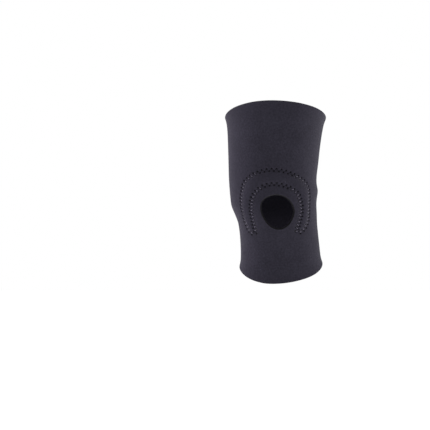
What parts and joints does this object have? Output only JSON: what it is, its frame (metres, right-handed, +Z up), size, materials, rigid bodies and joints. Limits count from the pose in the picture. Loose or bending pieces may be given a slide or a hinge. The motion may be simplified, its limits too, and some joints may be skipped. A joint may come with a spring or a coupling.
{
  "type": "knee sleeve",
  "caption": "Pull-on foam rubber knee sleeve with a knit face, curved cut hems, a kneecap opening and a horseshoe pad stitched round it.",
  "frame": {"origin": "middle of the hollow for the leg, level with the middle of the kneecap opening", "axes": "+Z up the leg towards the thigh, -Y to the front through the kneecap opening, +X to the outer side of the left leg"},
  "size_m": [0.141, 0.1442, 0.2503],
  "materials": {
    "neoprene_knit": "dark charcoal knit laminated to foam rubber, matt with a faint sheen",
    "pad_knit": "black knit over foam rubber, matt"
  },
  "bodies": {
    "root": {"sleeve": "neoprene_knit", "kneecap_pad": "pad_knit"}
  },
  "joints": []
}
